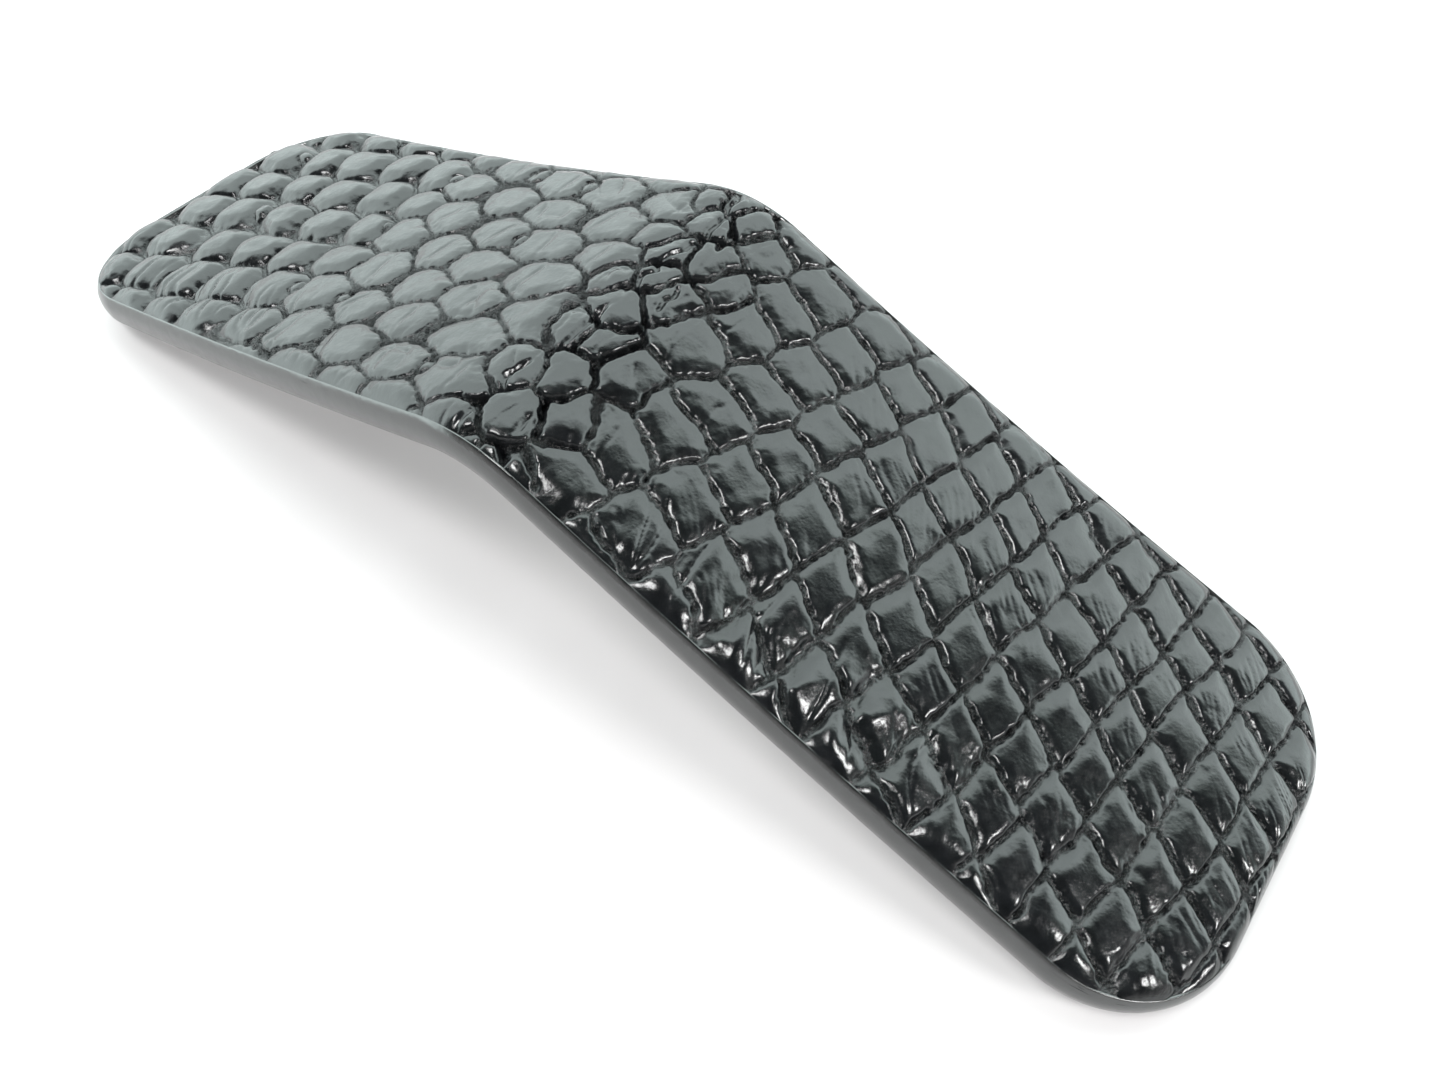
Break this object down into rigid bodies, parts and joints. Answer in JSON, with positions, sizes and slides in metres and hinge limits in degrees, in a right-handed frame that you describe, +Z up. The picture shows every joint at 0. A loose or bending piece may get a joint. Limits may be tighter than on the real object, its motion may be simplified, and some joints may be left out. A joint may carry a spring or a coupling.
{
  "type": "hair barrette",
  "caption": "Arched strip of black glazed alligator leather with rounded ends, folded over a ridge, on a metal French barrette clip with a hinged tongue and pinch catch.",
  "frame": {"origin": "on the surface that the barrette stands on, under the middle of the ridge", "axes": "+X along the strip from the clip's hinge end to its catch end, +Y across it, +Z up, out of the face of the leather"},
  "size_m": [0.1116, 0.032, 0.0207],
  "materials": {
    "alligator_leather": "glazed, high gloss, deep scale relief",
    "leather_board": "matte, pressed fibre",
    "lining_leather": "satin, fine grain",
    "edge_paint": "burnished gloss",
    "nickel_plate": "bright nickel plate on stamped steel",
    "spring_steel": "plated spring steel, fine drawn lines"
  },
  "bodies": {
    "strip": {"alligator_skin": "alligator_leather", "stiffener_board": "leather_board", "lining_leather": "lining_leather", "edge_coat": "edge_paint", "base_bar": "nickel_plate", "rivet_left": "nickel_plate", "rivet_right": "nickel_plate", "washer_left": "nickel_plate", "washer_right": "nickel_plate", "hinge_pin": "nickel_plate", "catch_foot": "nickel_plate", "catch_rivet": "nickel_plate"},
    "tongue": {"tongue": "nickel_plate"},
    "wing_front": {"pinch_wing_front": "nickel_plate"},
    "wing_back": {"pinch_wing_back": "nickel_plate"},
    "spring": {"tension_spring": "spring_steel"}
  },
  "joints": [
    {"name": "tongue_hinge", "type": "hinge", "parent": "strip", "child": "tongue", "pos_m": [-0.03287, 0, 0.00385], "axis": [0, 1, 0], "range_deg": [0, 105]},
    {"name": "wing_front_pinch", "type": "hinge", "parent": "strip", "child": "wing_front", "pos_m": [0.0332, -0.0018, 0.00488], "axis": [0.9532, 0, -0.3024], "range_deg": [0, 12], "stiffness_Nm_per_rad": 0.01},
    {"name": "wing_back_pinch", "type": "hinge", "parent": "strip", "child": "wing_back", "pos_m": [0.0332, 0.0018, 0.00488], "axis": [0.9532, 0, -0.3024], "range_deg": [-12, 0], "stiffness_Nm_per_rad": 0.01},
    {"name": "spring_flex", "type": "slide", "parent": "strip", "child": "spring", "axis": [0, 0, 1], "range_m": [0, 0.0024], "stiffness_N_per_m": 60, "deforming": ["tension_spring"]}
  ],
  "couplings": [
    {"joint": "wing_back_pinch", "follows": "wing_front_pinch", "ratio": -1}
  ]
}
